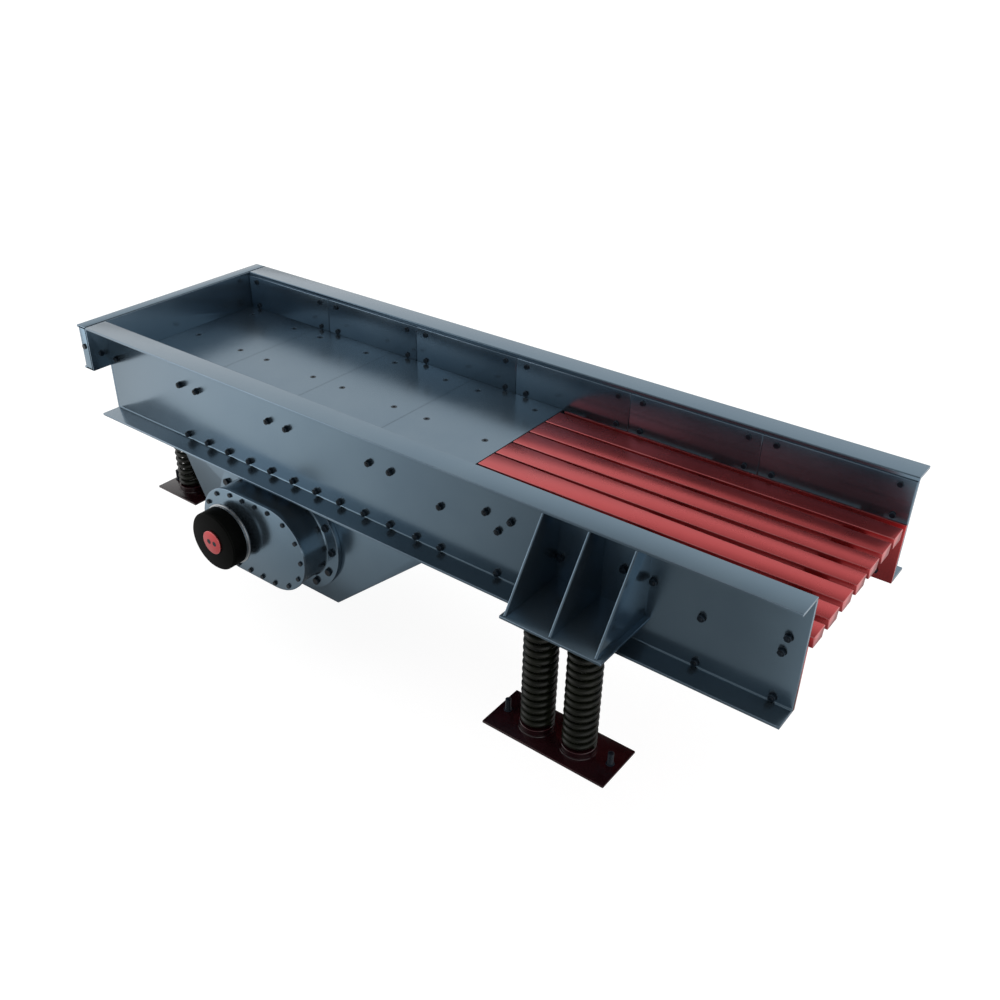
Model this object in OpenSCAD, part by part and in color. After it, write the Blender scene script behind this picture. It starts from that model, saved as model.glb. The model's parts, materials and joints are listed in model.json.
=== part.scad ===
// Vibrating feeder: a spring-mounted trough with a plated pan, a tapered bar deck at the
// discharge end and a geared two-shaft exciter slung between two side gussets.
// Frame: X runs from the feed end to the discharge end, Y = 0 is the trough's centre plane
// (the belt pulley stands out on the -Y side), and Z = 0 is the underside of the base plates.

/* [Trough] */
// Length of the side plates
trough_len = 3800; // [3600:10:4200]
// Clear width between the wear plates of the two walls
clear_w = 960; // [940:5:1100]
// Thickness of the side plates, the floor plate and the feed-end plate
plate_t = 12; // [10:1:14]
// Thickness of the bolted wear plates
liner_t = 8; // [6:1:10]
// Height of the side plates
wall_h = 492; // [485:1:520]
// Width of the side plates' top flange
top_flange = 110; // [100:1:120]
// Width of the side plates' bottom flange
bottom_flange = 105; // [100:1:108]
// Inner radius of the folded corners
fold_r = 8; // [5:1:10]
// Height of the trough's underside above the base plates' underside
lift = 420; // [410:5:440]
// Height of the pan's wear surface above the trough's underside
pan_top = 287.5; // [285:0.5:290]
// Length of the plated pan
pan_len = 2183; // [2183:1:2186]

/* [Feed end] */
// Depth of the feed-end flanges
end_flange = 76; // [70:1:90]
// Width of the end cheeks between those flanges
end_cheek = 62; // [55:1:66]
// Height of the wings' lower edge above the trough's underside
wing_z = 254; // [250:1:260]

/* [Wear plates] */
// Wear plates along each wall
panels = 6; // [4:1:7]
// Gap between neighbouring wear plates
seam = 2; // [1:0.5:4]
// Height of the wear plates' upper edge above the trough's underside
liner_top = 474; // [465:1:478]
// Distance from a wear plate's end to its bolts
bolt_inset = 62; // [50:1:80]
// Height of the lower bolt row above the trough's underside
bolt_low = 304; // [303:1:320]
// Height of the upper bolt row above the trough's underside
bolt_high = 445; // [430:1:450]
// Floor wear plates along the pan
floor_plates = 4; // [3:1:5]
// Distance from a floor plate's end to its bolts
floor_bolt_inset = 101.5; // [95:0.5:110]
// Distance of the outer floor bolts from the centre plane
floor_bolt_y = 390; // [380:1:400]

/* [Bar deck] */
// Bars in the deck
bars = 7; // [7:1:7]
// Distance between bar centres
bar_pitch = 128.5; // [126:0.5:130]
// Gap between bars where the deck begins
gap_start = 10; // [8:1:14]
// Gap between bars at the discharge
gap_end = 34; // [20:1:40]
// Depth of a bar
bar_h = 50; // [40:1:60]
// Slope of each flank, measured as width lost at the bottom
bar_taper = 14; // [6:1:20]
// Distance from the pan's end to the first bolt of the deck's side plates
deck_bolt_start = 53; // [50:1:60]
// Distance from the last of those bolts to the discharge end
deck_bolt_end = 74; // [60:1:90]
// Bolts in each row
deck_bolts_n = 6; // [5:1:7]
// Height of their upper row above the trough's underside
deck_bolt_z = 238; // [230:1:240]
// Side of the cross tubes under the bars
cross_w = 100; // [90:1:110]
// Height of those tubes
cross_h = 120; // [110:1:120]

/* [Springs] */
// Outer diameter of a spring
spring_od = 135; // [130:1:140]
// Diameter of the spring wire
wire_d = 24; // [20:1:24]
// Full turns of a spring
turns = 13; // [11:1:14]
// Height of the upper seats above the trough's underside
seat_top = 130; // [128:1:135]
// Distance of the discharge-end springs from the centre plane
front_y = 728; // [725:1:732]
// Distance of the first discharge-end spring from the discharge end
front_inset = 890; // [885:1:895]
// Distance between the two springs of a pair
pair_pitch = 195; // [190:1:200]
// Position of the feed-end springs
rear_x = 368; // [366:1:372]
// Distance of the feed-end springs from the centre plane
rear_y = 373; // [370:1:376]

/* [Base plates] */
// Thickness of the base plates
base_t = 10; // [8:1:12]
// Height of the lower spring seats
seat_h = 30; // [26:1:34]
// Length of the discharge-end base plates
front_base_len = 563; // [555:1:570]
// Width of all base plates
base_w = 234; // [225:1:240]
// Length of the feed-end base plates
rear_base_len = 310; // [305:1:320]
// Spacing of the two studs on a discharge-end base plate
front_stud_pitch = 480; // [476:1:484]
// Spacing of the two studs on a feed-end base plate
rear_stud_pitch = 256; // [250:1:260]
// Diameter of the studs
stud_d = 24; // [20:1:24]
// Height of the studs above the base plates
stud_h = 56; // [50:1:60]

/* [Gussets] */
// Feed-end corner of the gussets
gusset_start = 459; // [450:1:470]
// Height of the gussets' tab above the trough's underside
gusset_tab = 75; // [70:1:80]
// Distance from the gussets' feed-end corner to their first bolt
gusset_bolt_inset = 126; // [120:1:130]
// Bolts along a gusset
gusset_bolts_n = 11; // [9:1:12]
// Distance of the gussets' lower edge below the base plates' underside
gusset_drop = 155; // [150:1:160]
// Side of the tie tubes between the gussets
tie_w = 90; // [80:1:100]
// Distance from the trough's underside to that of the tie tubes
tie_drop = 120; // [110:1:125]

/* [Exciter] */
// Distance between the two shafts, the gears' pitch diameter
shaft_pitch = 261; // [261:1:261]
// Position of the driven-in shaft, from the feed end
drive_x = 1073; // [1070:1:1080]
// Height of both shafts
shaft_z = 158; // [155:1:165]
// Radius of the shafts in their bearings
shaft_r = 50; // [45:1:50]
// Radius of the bearings' outer ring
bearing_r = 107.5; // [105:0.5:110]
// Width of a bearing
bearing_w = 73; // [70:1:75]
// Inner radius of the exciter's round-ended casing
case_r = 190; // [185:1:192]
// Wall of that casing
case_wall = 18; // [15:1:18]
// Radius of the bearing carriers' necks
neck_r = 212; // [212:1:214]
// Radius of the carriers' flanges
flange_r = 285; // [280:1:288]
// Thickness of those flanges
flange_t = 25; // [20:1:28]
// Bolt circle of the flanges
flange_bolt_r = 248; // [243:1:255]
// Distance of the carriers' outer faces from the centre plane
neck_y = 655; // [645:1:660]
// Radius of the end covers
cover_r = 221; // [218:1:224]
// Thickness of the end covers
cover_t = 15; // [12:1:18]
// Bolt circle of the end covers
cover_bolt_r = 198; // [196:1:199]
// Radius of the eccentric weights
weight_r = 125; // [115:1:125]
// Direction in which both weights hang, opposite the stroke
weight_dir = 225; // [225:1:225]
// Teeth of each gear
teeth = 29; // [29:1:29]
// Width of the gears
gear_w = 50; // [45:1:55]
// Radius of the belt pulley
pulley_r = 150; // [145:1:152]
// Width of the belt pulley
pulley_w = 100; // [90:1:104]
// Distance of the pulley's outer face from the centre plane
pulley_y = 805; // [800:1:810]

/* [Hidden] */
$fn = 72;
bolt_r = 8;               // M16 shank
hole_r = 9;               // its clearance hole
head_r = 24 / sqrt(3);    // corner radius of a 24 mm hexagon
head_h = 10;
nut_h = 14.8;
washer_r = 15;
washer_t = 3;
small_r = 6;              // M12 shank
small_hole_r = 6.3;
small_head_r = 18 / sqrt(3);
small_head_h = 7.5;
big_r = 10;               // M20 shank
big_hole_r = 11;
big_head_r = 30 / sqrt(3);
big_head_h = 12.5;
run_gap = 0.05;           // radial clearance of a running fit

liner_y = clear_w / 2;                    // wear plates' inner face
wall_in = liner_y + liner_t;              // side plates' inner face
wall_out = wall_in + plate_t;             // side plates' outer face
flange_y = wall_out + top_flange;
low_flange_y = wall_out + bottom_flange;
wall_top = lift + wall_h;
pan_z = lift + pan_top;
floor_z = pan_z - liner_t;                // floor plate's upper face
gusset_t = 12;
gusset_in = wall_in - gusset_t;           // inner face of gussets and deck side plates
panel_pitch = trough_len / panels;
floor_pitch = pan_len / floor_plates;
liner_bolts = [for (i = [0:panels - 1], e = [bolt_inset, panel_pitch - bolt_inset]) i * panel_pitch + e];
floor_bolts = [for (i = [0:floor_plates - 1], e = [floor_bolt_inset, floor_pitch - floor_bolt_inset])
    i * floor_pitch + e];
row_low = lift + 37;                      // bolt row just above the bottom flange
deck_rows = [row_low, lift + deck_bolt_z];
deck_x = pan_len + 7;                     // deck side plates begin
gusset_end = deck_x + 47;                 // discharge-end corner of the gussets
gusset_tab_end = deck_x - 40;
gusset_bolts = row_of(gusset_bolts_n, gusset_start + gusset_bolt_inset, gusset_tab_end - 49);
deck_bolts = row_of(deck_bolts_n, pan_len + deck_bolt_start, trough_len - deck_bolt_end);
bar_x = pan_len + 3;
bar_z = pan_z - bar_h;
cross_x = row_of(3, deck_x + 135, trough_len - 150);   // cross tubes under the bars
stiffener_w = 80;
stiffener_x = row_of(4, gusset_start + 291, deck_x - 370);   // floor stiffeners
wing_bolts = [for (s = [-1, 1]) [s * (wall_out + 47), lift + 333]];
cheek_bolt_z = lift + 382;

front_x = trough_len - front_inset;
front_xs = [front_x, front_x + pair_pitch];
front_mid = front_x + pair_pitch / 2;
rib_t = 10;
bracket_ribs = [front_x - 100, front_mid + 2.5, front_x + pair_pitch + 98];
bracket_x0 = front_x - 119;
bracket_x1 = front_x + pair_pitch + 137;
bracket_y = 840;
seat_z = lift + seat_top;                 // underside of the upper seats
spring_z = base_t + seat_h;               // upper face of the lower seats
spring_h = seat_z - spring_z;
coil_r = (spring_od - wire_d) / 2;
spigot_r = coil_r - wire_d / 2 - 4;
spigot_h = 24;
rear_base_y = rear_y - 4;

shaft_x = [drive_x, drive_x + shaft_pitch];
exciter_x = drive_x + shaft_pitch / 2;
bearing_in = 520;                         // inner end of each bearing seat
stub_r = 45;                              // shaft end that carries the pulley
gear_y = -405;
plate_r = 61;                             // pulley's end plate
plate_h = 8;

// ---------- helpers ----------

// Draws its children on the +Y side, or mirrored to the -Y side
module on_side(near) {
    mirror([0, near ? 1 : 0, 0]) children();
}

// A Y-Z outline stretched along X from x0
module along_x(x0, len) {
    translate([x0, 0, 0]) rotate([90, 0, 90]) linear_extrude(len) children();
}

// An X-Z outline stretched along Y from y0
module along_y(y0, len) {
    translate([0, y0 + len, 0]) rotate([90, 0, 0]) linear_extrude(len) children();
}

// A cylinder along +Y that starts at p
module rod_y(p, r, len, sides = 72) {
    translate(p) rotate([-90, 0, 0]) cylinder(r = r, h = len, $fn = sides);
}

// Round-ended outline about the two shafts
module stadium(r) {
    translate([drive_x, shaft_z - r]) square([shaft_pitch, 2 * r]);
    for (x = shaft_x) translate([x, shaft_z]) circle(r = r, $fn = 144);
}

// Evenly spaced positions from a to b
function row_of(n, a, b) = [for (k = [0:n - 1]) a + (b - a) * k / (n - 1)];

// Outline of the carriers' flanges, cut level under the trough's bottom flange
module flange_outline() {
    intersection() {
        stadium(flange_r);
        translate([0, -gusset_drop - lift]) square([trough_len, 2 * lift + gusset_drop - 2]);
    }
}

// Centres around a stadium: seven on each end and the rest along the straights
function ring(r, extra) = concat(
    [for (k = [0:6]) [shaft_x[1] + r * cos(30 * k - 90), shaft_z + r * sin(30 * k - 90)]],
    [for (k = [0:6]) [shaft_x[0] - r * cos(30 * k - 90), shaft_z + r * sin(30 * k - 90)]],
    [for (s = [-1, 1], k = [1:extra]) [drive_x + shaft_pitch * k / (extra + 1), shaft_z + s * r]]);

// Flange bolts; the top row is lowered to clear the bottom flange
flange_ring = [for (p = ring(flange_bolt_r, 1)) [p[0], min(p[1], lift - 24)]];

// A bolt along Y: head inside at y_in, nut and washer outside at y_out
module wall_bolt(x, z, y_in, y_out) {
    rod_y([x, y_in - head_h, z], head_r, head_h, 6);
    rod_y([x, y_in - head_h, z], bolt_r, y_out - y_in + head_h + washer_t + nut_h + 4, 36);
    rod_y([x, y_out, z], washer_r, washer_t, 36);
    rod_y([x, y_out + washer_t, z], head_r, nut_h, 6);
}

// ---------- trough ----------

module channel_outline() {
    outer_r = fold_r + plate_t;
    difference() {
        union() {
            translate([wall_in, lift]) square([plate_t + fold_r, wall_h]);
            translate([wall_in, lift]) square([low_flange_y - wall_in, plate_t]);
            translate([wall_in, wall_top - plate_t]) square([flange_y - wall_in, plate_t]);
        }
        translate([wall_out, lift + outer_r]) square([fold_r + 1, wall_h - 2 * outer_r]);
        for (z = [lift + outer_r, wall_top - outer_r]) translate([wall_out + fold_r, z]) circle(r = fold_r);
        translate([wall_in, lift]) fold_corner(outer_r);
        translate([wall_in, wall_top]) mirror([0, 1]) fold_corner(outer_r);
    }
}

// What a rounded corner of radius r loses from its square
module fold_corner(r) {
    difference() {
        translate([-1, -1]) square(r + 1);
        translate([r, r]) circle(r = r);
    }
}

module side_plate(near) {
    on_side(near) color("slategray") difference() {
        along_x(0, trough_len) channel_outline();
        for (x = liner_bolts, z = [bolt_low, bolt_high]) wall_hole(x, lift + z);
        for (x = gusset_bolts) wall_hole(x, row_low);
        for (x = deck_bolts, z = deck_rows) wall_hole(x, z);
    }
}

module wall_hole(x, z) {
    rod_y([x, liner_y - 20, z], hole_r, 60, 36);
}

module feed_end_plate() {
    color("slategray") difference() {
        union() {
            along_x(-plate_t, plate_t) {
                translate([-flange_y, lift + wing_z]) square([2 * flange_y, wall_h - wing_z]);
                translate([-wall_out, lift]) square([2 * wall_out, wall_h]);
            }
            for (z = [wall_top - plate_t, lift + wing_z])
                translate([-end_flange, -flange_y, z]) cube([end_flange, 2 * flange_y, plate_t]);
            translate([-end_flange, -wall_out, lift]) cube([end_flange, 2 * wall_out, plate_t]);
            for (s = [-1, 1]) translate([-end_cheek, s * (flange_y - plate_t / 2) - plate_t / 2, lift + wing_z])
                cube([end_cheek, plate_t, wall_h - wing_z]);
        }
        for (b = wing_bolts) translate([-20, b[0], b[1]]) rotate([0, 90, 0]) cylinder(r = hole_r, h = 40);
        for (s = [-1, 1]) rod_y([-end_flange / 2, s * (flange_y - 6) - 10, cheek_bolt_z], hole_r, 20);
    }
}

module floor_plate() {
    color("slategray") difference() {
        translate([0, -wall_in, floor_z - plate_t]) cube([pan_len, 2 * wall_in, plate_t]);
        for (x = floor_bolts, y = [-1, 0, 1]) translate([x, y * floor_bolt_y, floor_z - 20])
            cylinder(r = hole_r, h = 40);
    }
}

// T-shaped stiffeners that cross under the floor plate
module floor_stiffeners() {
    web_h = 110;
    color("slategray") for (x = stiffener_x) {
        translate([x - 5, -gusset_in, floor_z - plate_t - web_h]) cube([10, 2 * gusset_in, web_h]);
        translate([x - stiffener_w / 2, -gusset_in, floor_z - plate_t - web_h - 10])
            cube([stiffener_w, 2 * gusset_in, 10]);
    }
}

// Cross beam over the two feed-end springs: seat plate, two webs and the springs' spigots
module rear_spring_beam() {
    half = rear_base_len / 2;
    color("slategray") {
        translate([rear_x - half, -wall_in, seat_z]) cube([2 * half, 2 * wall_in, plate_t]);
        for (x = [rear_x - 85, rear_x + 39]) translate([x, -wall_in, seat_z])
            cube([plate_t, 2 * wall_in, floor_z - plate_t - seat_z]);
        for (s = [-1, 1]) translate([rear_x, s * rear_y, seat_z - spigot_h]) cylinder(r = spigot_r, h = spigot_h + 1);
    }
}

module floor_liners() {
    color("lightslategray") difference() {
        for (i = [0:floor_plates - 1]) translate([i * floor_pitch + seam / 2, -liner_y + 1, floor_z])
            cube([floor_pitch - seam, 2 * liner_y - 2, liner_t]);
        for (x = floor_bolts, y = [-1, 0, 1]) translate([x, y * floor_bolt_y, floor_z - 1]) {
            cylinder(r = hole_r, h = liner_t);
            translate([0, 0, 1.3]) cylinder(r1 = hole_r, r2 = 15.7, h = liner_t - 0.3 + 0.01);
        }
    }
}

module side_liners(near) {
    on_side(near) color("lightslategray") difference() {
        for (i = [0:panels - 1]) translate([i * panel_pitch + seam / 2, liner_y, floor_z])
            cube([panel_pitch - seam, liner_t, lift + liner_top - floor_z]);
        for (x = liner_bolts, z = [bolt_low, bolt_high]) wall_hole(x, lift + z);
    }
}

// ---------- bar deck ----------

module deck_side(near) {
    on_side(near) color("firebrick") difference() {
        translate([deck_x, gusset_in, lift]) cube([trough_len - deck_x, gusset_t, floor_z - lift]);
        for (x = deck_bolts, z = deck_rows) wall_hole(x, z);
    }
}

module deck_cross_tubes() {
    wall = 10;
    color("firebrick") for (x = cross_x) difference() {
        translate([x - cross_w / 2, -gusset_in, bar_z - cross_h]) cube([cross_w, 2 * gusset_in, cross_h]);
        translate([x - cross_w / 2 + wall, -gusset_in - 1, bar_z - cross_h + wall])
            cube([cross_w - 2 * wall, 2 * gusset_in + 2, cross_h - 2 * wall]);
    }
}

// A bar narrows towards the discharge and towards its underside
module deck_bar(i) {
    half_a = (bar_pitch - gap_start) / 2;
    half_b = (bar_pitch - gap_end) / 2;
    in = bar_taper / 2;
    y = (i - (bars + 1) / 2) * bar_pitch;
    color("indianred") translate([0, y, 0]) polyhedron(
        points = [[bar_x, -half_a + in, bar_z], [trough_len, -half_b + in, bar_z],
                  [trough_len, half_b - in, bar_z], [bar_x, half_a - in, bar_z],
                  [bar_x, -half_a, pan_z], [trough_len, -half_b, pan_z],
                  [trough_len, half_b, pan_z], [bar_x, half_a, pan_z]],
        faces = [[0, 1, 2, 3], [7, 6, 5, 4], [4, 5, 1, 0], [5, 6, 2, 1], [6, 7, 3, 2], [7, 4, 0, 3]]);
}

// ---------- springs, brackets and base plates ----------

// Three raked ribs welded between the flanges and a seat plate with two spigots
module spring_bracket(near) {
    rib = [[wall_out, wall_top - plate_t], [flange_y, wall_top - plate_t],
           [bracket_y - 7, seat_z + plate_t], [wall_out, seat_z + plate_t]];
    on_side(near) color("slategray") {
        for (x = bracket_ribs) along_x(x - rib_t / 2, rib_t) bracket_rib(rib);
        translate([bracket_x0, wall_out, seat_z]) cube([bracket_x1 - bracket_x0, bracket_y - wall_out, plate_t]);
        for (x = front_xs) translate([x, front_y, seat_z - spigot_h]) cylinder(r = spigot_r, h = spigot_h + 1);
    }
}

// A rib, relieved where the top flange folds into the web
module bracket_rib(rib) {
    difference() {
        polygon(rib);
        translate([wall_out - 1, wall_top - plate_t - 2 * fold_r]) square([2 * fold_r + 1, 2 * fold_r + 1]);
    }
}

// Wire centre of a closed-end coil at a fraction f of its length: flat end turns, even pitch between
function coil_z(f, h) = let (a = f * (turns + 2))
    a < 1 ? wire_d * 0.25 + a * wire_d * 0.8 :
    a > turns + 1 ? h - wire_d * 0.25 - (turns + 2 - a) * wire_d * 0.8 :
    wire_d * 1.05 + (a - 1) / turns * (h - wire_d * 2.1);

// A coil as a loop of six-sided rings, with its ends ground flat
module coil(h) {
    sides = 6;
    steps = (turns + 2) * 11;
    pts = [for (i = [0:steps], k = [0:sides - 1]) let (
        f = i / steps,
        a = f * (turns + 2) * 360,
        r = coil_r + wire_d / 2 * cos(k * 360 / sides))
        [r * cos(a), r * sin(a), coil_z(f, h) + wire_d / 2 * sin(k * 360 / sides)]];
    skin = [for (i = [0:steps - 1], k = [0:sides - 1]) let (n = (k + 1) % sides)
        [i * sides + k, i * sides + n, (i + 1) * sides + n, (i + 1) * sides + k]];
    ends = [[for (k = [sides - 1:-1:0]) k], [for (k = [0:sides - 1]) steps * sides + k]];
    intersection() {
        polyhedron(points = pts, faces = concat(skin, ends));
        translate([-spring_od, -spring_od, 0]) cube([2 * spring_od, 2 * spring_od, h]);
    }
}

module spring_at(x, y) {
    color("dimgray") translate([x, y, spring_z]) coil(spring_h);
}

// A base plate with its spring seats, drilled for its two studs
module base_plate(x, y, len, seats, pitch) {
    color("maroon") difference() {
        union() {
            translate([x - len / 2, y - base_w / 2, 0]) cube([len, base_w, base_t]);
            for (s = seats) translate([s[0], s[1], 0]) {
                cylinder(r = spring_od / 2 + 2, h = spring_z);
                cylinder(r = spigot_r, h = spring_z + spigot_h);
            }
        }
        for (s = [-1, 1]) translate([x + s * pitch / 2, y, -1]) cylinder(r = stud_d / 2 + 0.5, h = base_t + 2);
    }
}

module front_base(s) {
    base_plate(front_mid, s * (front_y - 1), front_base_len,
               [for (x = front_xs) [x, s * front_y]], front_stud_pitch);
}

module rear_base(s) {
    base_plate(rear_x, s * rear_base_y, rear_base_len, [[rear_x, s * rear_y]], rear_stud_pitch);
}

// Plain studs with a thin washer that seats each on its base plate
module base_studs() {
    places = concat(
        [for (s = [-1, 1], k = [-1, 1]) [front_mid + k * front_stud_pitch / 2, s * (front_y - 1)]],
        [for (s = [-1, 1], k = [-1, 1]) [rear_x + k * rear_stud_pitch / 2, s * rear_base_y]]);
    color("dimgray") for (p = places) translate([p[0], p[1], 0]) {
        cylinder(r = stud_d / 2, h = base_t + stud_h);
        translate([0, 0, base_t]) cylinder(r = stud_d / 2 + 5, h = 3);
    }
}

// ---------- exciter ----------

// Trapezoid bolted inside a side plate, with a round-ended window for the casing
module gusset(near) {
    on_side(near) color("slategray") difference() {
        along_y(gusset_in, gusset_t) difference() {
            polygon([[gusset_start, lift], [gusset_start, lift + gusset_tab],
                     [gusset_tab_end, lift + gusset_tab], [gusset_tab_end, lift], [gusset_end, lift],
                     [exciter_x + 365.5, -gusset_drop], [exciter_x - 451.5, -gusset_drop]]);
            stadium(case_r);
        }
        for (x = gusset_bolts) wall_hole(x, row_low);
        for (p = flange_ring) rod_y([p[0], gusset_in - 1, p[1]], big_hole_r, gusset_t + 2);
    }
}

module gusset_tie_tubes() {
    wall = 8;
    color("slategray") for (x = [gusset_start + 201, gusset_end - 217 - tie_w]) difference() {
        translate([x, -gusset_in, lift - tie_drop]) cube([tie_w, 2 * gusset_in, tie_w]);
        translate([x + wall, -gusset_in - 1, lift - tie_drop + wall])
            cube([tie_w - 2 * wall, 2 * gusset_in + 2, tie_w - 2 * wall]);
    }
}

// Round-ended tube between the gussets, closed by the carriers
module exciter_casing() {
    color("slategray") along_y(-gusset_in, 2 * gusset_in) difference() {
        stadium(case_r + case_wall);
        stadium(case_r);
    }
}

// Flange, neck and the two bearing seats in one casting
module bearing_carrier(near) {
    on_side(near) color("slategray") difference() {
        union() {
            along_y(wall_in, flange_t) flange_outline();
            along_y(wall_in, neck_y - wall_in) stadium(neck_r);
        }
        for (x = shaft_x) {
            rod_y([x, wall_in - 1, shaft_z], bearing_r - 14, neck_y, 144);
            rod_y([x, bearing_in, shaft_z], bearing_r, neck_y, 144);
        }
        for (p = flange_ring) rod_y([p[0], wall_in - 1, p[1]], big_hole_r, flange_t + 2);
        for (p = ring(cover_bolt_r, 2)) rod_y([p[0], neck_y - 40, p[1]], small_hole_r, 50);
    }
}

// Cover with a ring that holds each bearing; the near one lets the drive shaft through
module end_cover(near) {
    on_side(near) color("lightslategray") difference() {
        union() {
            along_y(neck_y, cover_t) stadium(cover_r);
            for (x = shaft_x) rod_y([x, bearing_in + bearing_w, shaft_z], bearing_r - 0.5,
                                    neck_y - bearing_in - bearing_w + 1, 144);
        }
        for (x = shaft_x) rod_y([x, bearing_in + bearing_w - 1, shaft_z], bearing_r - 18,
                                neck_y - bearing_in - bearing_w + 1, 144);
        for (p = ring(cover_bolt_r, 2)) rod_y([p[0], neck_y - 1, p[1]], small_hole_r, cover_t + 2);
        if (near) rod_y([drive_x, neck_y - 1, shaft_z], stub_r + 0.5, cover_t + 2, 144);
    }
}

module bearings(x) {
    color("silver") for (s = [false, true]) on_side(s) difference() {
        rod_y([x, bearing_in, shaft_z], bearing_r - 0.02, bearing_w, 144);
        rod_y([x, bearing_in - 1, shaft_z], shaft_r + run_gap, bearing_w + 2, 144);
    }
}

module drive_shaft() {
    far_end = neck_y - 15;
    color("silver") difference() {
        union() {
            rod_y([drive_x, -neck_y + 5, shaft_z], shaft_r, far_end + neck_y - 5, 144);
            rod_y([drive_x, -pulley_y, shaft_z], stub_r, pulley_y, 144);
        }
        for (s = [-1, 1]) rod_y([drive_x + s * 21, -pulley_y - 1, shaft_z], small_hole_r, 32, 36);
    }
}

module idler_shaft() {
    color("silver") rod_y([shaft_x[1], -neck_y + 15, shaft_z], shaft_r, 2 * (neck_y - 15), 144);
}

// Tooth outline: straight-sided approximation of a 20 degree tooth about the pitch circle
module gear(x) {
    m = shaft_pitch / teeth;
    rp = shaft_pitch / 2;
    step = 360 / teeth;
    outline = [for (i = [0:teeth - 1], c = [[-0.31, -1.15], [-0.232, 0], [-0.11, 0.95], [0.11, 0.95],
                                            [0.232, 0], [0.31, -1.15]])
        let (a = (i + c[0]) * step, r = rp + m * c[1]) [r * cos(a), r * sin(a)]];
    color("gray") translate([x, gear_y + gear_w / 2, shaft_z]) rotate([90, 0, 0]) difference() {
        linear_extrude(gear_w) polygon(outline);
        translate([0, 0, -1]) cylinder(r = shaft_r + run_gap, h = gear_w + 2, $fn = 144);
        for (k = [0:5]) rotate(k * 60) translate([88, 0, -1]) cylinder(r = 18, h = gear_w + 2);
    }
}

// Two half discs on one shaft, hanging opposite the stroke
module weights(x) {
    color("gray") for (y = [[-330, 270], [60, 270]])
        translate([x, y[0] + y[1], shaft_z]) rotate([90, 0, 0]) difference() {
            rotate(weight_dir) linear_extrude(y[1]) difference() {
                circle(r = weight_r, $fn = 144);
                translate([-2 * weight_r - 20, -weight_r]) square([2 * weight_r, 2 * weight_r]);
            }
            translate([0, 0, -1]) cylinder(r = shaft_r + run_gap, h = y[1] + 2, $fn = 144);
        }
}

// Smooth-rimmed belt pulley with a machined ring at its back
module belt_pulley() {
    chamfer = 7;
    w = pulley_w;
    color([0.04, 0.04, 0.04]) translate([drive_x, -pulley_y, shaft_z]) rotate([-90, 0, 0]) difference() {
        rotate_extrude($fn = 144) polygon([[0, 0], [pulley_r - chamfer, 0], [pulley_r, chamfer],
            [pulley_r, w - 8], [pulley_r + 6, w - 8], [pulley_r + 6, w], [0, w]]);
        translate([0, 0, -1]) cylinder(r = stub_r + run_gap, h = w + 2, $fn = 144);
        translate([0, 0, w - 60]) difference() {
            cylinder(r = pulley_r - 16, h = 61);
            translate([0, 0, -1]) cylinder(r = 72, h = 63);
        }
    }
}

module pulley_end_plate() {
    color("indianred") difference() {
        rod_y([drive_x, -pulley_y - plate_h, shaft_z], plate_r, plate_h, 144);
        for (s = [-1, 1]) {
            rod_y([drive_x + s * 21, -pulley_y - plate_h - 1, shaft_z], small_hole_r, plate_h + 2, 36);
            rod_y([drive_x + s * 21, -pulley_y - plate_h - 1, shaft_z], 10.5, 5, 36);
        }
    }
}

// Cap screws sunk in the end plate
module pulley_screws() {
    color("dimgray") for (s = [-1, 1]) {
        rod_y([drive_x + s * 21, -pulley_y - plate_h + 4, shaft_z], small_r, 32, 36);
        rod_y([drive_x + s * 21, -pulley_y - plate_h + 1, shaft_z], 9, 3, 36);
    }
}

// ---------- fasteners ----------

module liner_bolt_set(near) {
    on_side(near) color("darkslategray")
        for (x = liner_bolts, z = [bolt_low, bolt_high]) wall_bolt(x, lift + z, liner_y, wall_out);
}

module wall_bolt_set(near) {
    on_side(near) color("darkslategray") {
        for (x = gusset_bolts) wall_bolt(x, row_low, gusset_in, wall_out);
        for (x = deck_bolts, z = deck_rows) wall_bolt(x, z, gusset_in, wall_out);
    }
}

// Countersunk bolts with nuts under the floor plate
module floor_bolt_set() {
    under = floor_z - plate_t;
    color("darkslategray") for (x = floor_bolts, y = [-1, 0, 1]) translate([x, y * floor_bolt_y, 0]) {
        translate([0, 0, pan_z - 6.7]) cylinder(r1 = bolt_r, r2 = 14.7, h = 6.7);
        translate([0, 0, under - nut_h - 5]) cylinder(r = bolt_r, h = pan_z - 6 - under + nut_h + 5);
        translate([0, 0, under - nut_h]) cylinder(r = head_r, h = nut_h, $fn = 6);
    }
}

// Bolts through the feed end's wings and cheeks
module feed_end_bolts() {
    color("darkslategray") {
        for (b = wing_bolts) translate([0, b[0], b[1]]) rotate([0, 90, 0]) {
            translate([0, 0, -plate_t - 3]) cylinder(r = bolt_r, h = plate_t + 4);
            cylinder(r = head_r, h = head_h, $fn = 6);
            translate([0, 0, -plate_t - nut_h]) cylinder(r = head_r, h = nut_h, $fn = 6);
        }
        for (s = [false, true]) on_side(s) translate([-end_flange / 2, flange_y, cheek_bolt_z]) rotate([-90, 0, 0]) {
            translate([0, 0, -plate_t - 3]) cylinder(r = bolt_r, h = plate_t + 4);
            cylinder(r = head_r, h = head_h, $fn = 6);
            translate([0, 0, -plate_t - nut_h]) cylinder(r = head_r, h = nut_h, $fn = 6);
        }
    }
}

module carrier_bolts() {
    head_y = wall_in + flange_t;
    color("darkslategray") for (s = [false, true], p = flange_ring) on_side(s) {
        rod_y([p[0], gusset_in - 16, p[1]], big_r, head_y - gusset_in + 17, 36);
        rod_y([p[0], head_y, p[1]], big_head_r, big_head_h, 6);
        rod_y([p[0], gusset_in - 16, p[1]], big_head_r, 16, 6);
    }
}

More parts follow.
